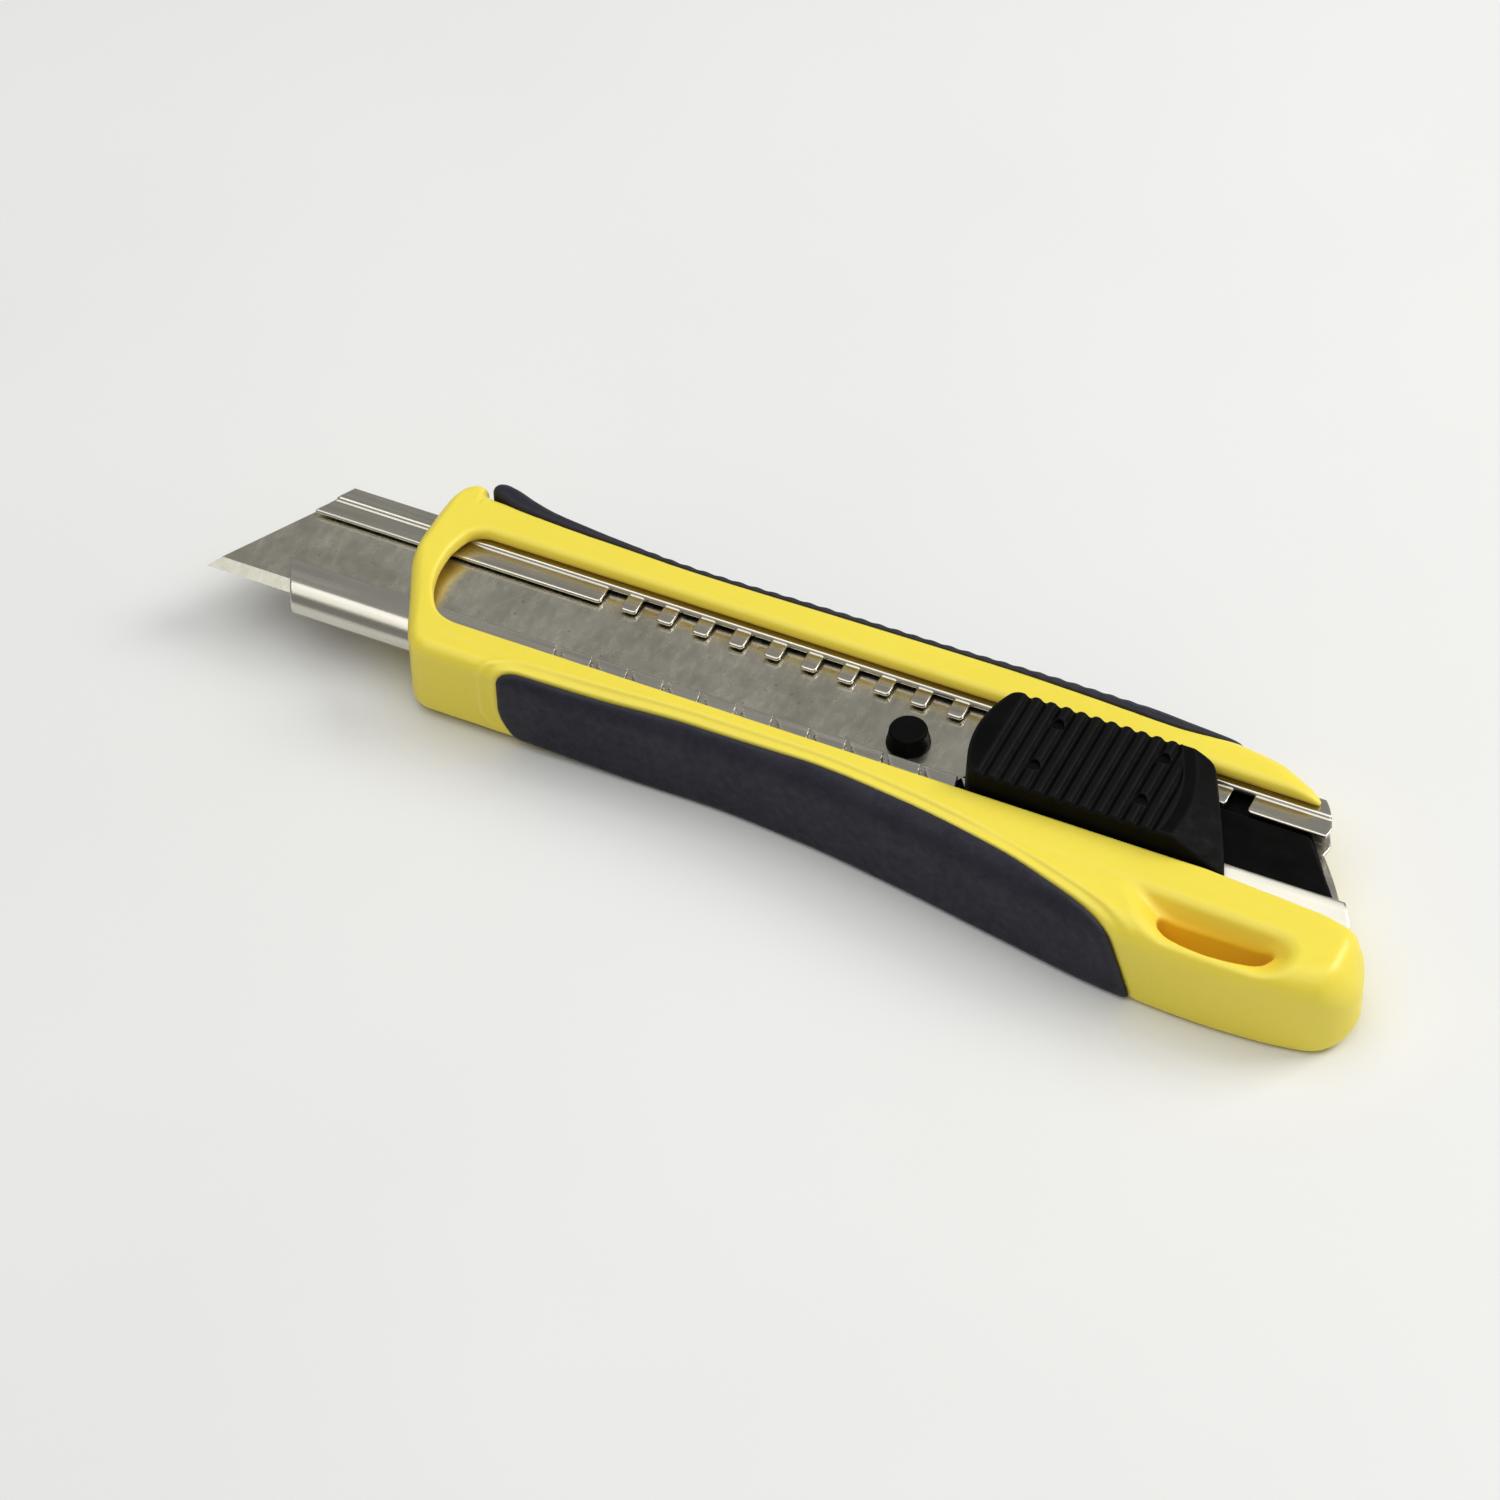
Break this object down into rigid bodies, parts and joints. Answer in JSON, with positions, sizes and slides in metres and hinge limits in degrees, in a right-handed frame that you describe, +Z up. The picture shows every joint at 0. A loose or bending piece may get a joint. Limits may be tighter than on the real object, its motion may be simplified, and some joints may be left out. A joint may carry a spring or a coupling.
{
  "type": "utility knife",
  "caption": "Snap-off utility knife with a grippy two-material handle, a steel blade channel with a locking rack, and a ribbed thumb slider.",
  "frame": {"origin": "centre of the knife's box, on the surface that it lies on, with the blade at its stored place", "axes": "+X from the blade tip to the rear of the handle, +Y from the cutting edge to the spine, +Z up from the back of the handle to the thumb slider"},
  "size_m": [0.1596, 0.0391, 0.0155],
  "materials": {
    "yellow_plastic": "smooth moulded ABS, soft gloss",
    "grip_rubber": "dark blue-grey moulded soft rubber, finely grained",
    "channel_steel": "rolled stainless sheet, satin to bright",
    "blade_steel": "ground and oiled carbon steel",
    "black_plastic": "black moulded plastic, low gloss",
    "spring_steel": "bright spring steel strip",
    "rivet_steel": "plain plated steel"
  },
  "bodies": {
    "frame": {"handle_body": "yellow_plastic", "lower_grip": "grip_rubber", "upper_grip": "grip_rubber", "blade_channel": "channel_steel", "channel_rivets": "rivet_steel"},
    "carriage": {"slider_carriage": "black_plastic", "snap_blade": "blade_steel", "blade_pin": "black_plastic", "lock_spring": "spring_steel", "spring_rivet": "rivet_steel"},
    "thumb_cap": {"slider_cap": "black_plastic", "cap_pegs": "black_plastic"}
  },
  "joints": [
    {"name": "blade_slide", "type": "slide", "parent": "frame", "child": "carriage", "axis": [-1, 0, 0], "range_m": [-0.015, 0.06]},
    {"name": "lock_release", "type": "slide", "parent": "carriage", "child": "thumb_cap", "axis": [-1, 0, 0], "range_m": [-0.0008, 0.0008], "stiffness_N_per_m": 800, "deforming": ["lock_spring"]}
  ]
}
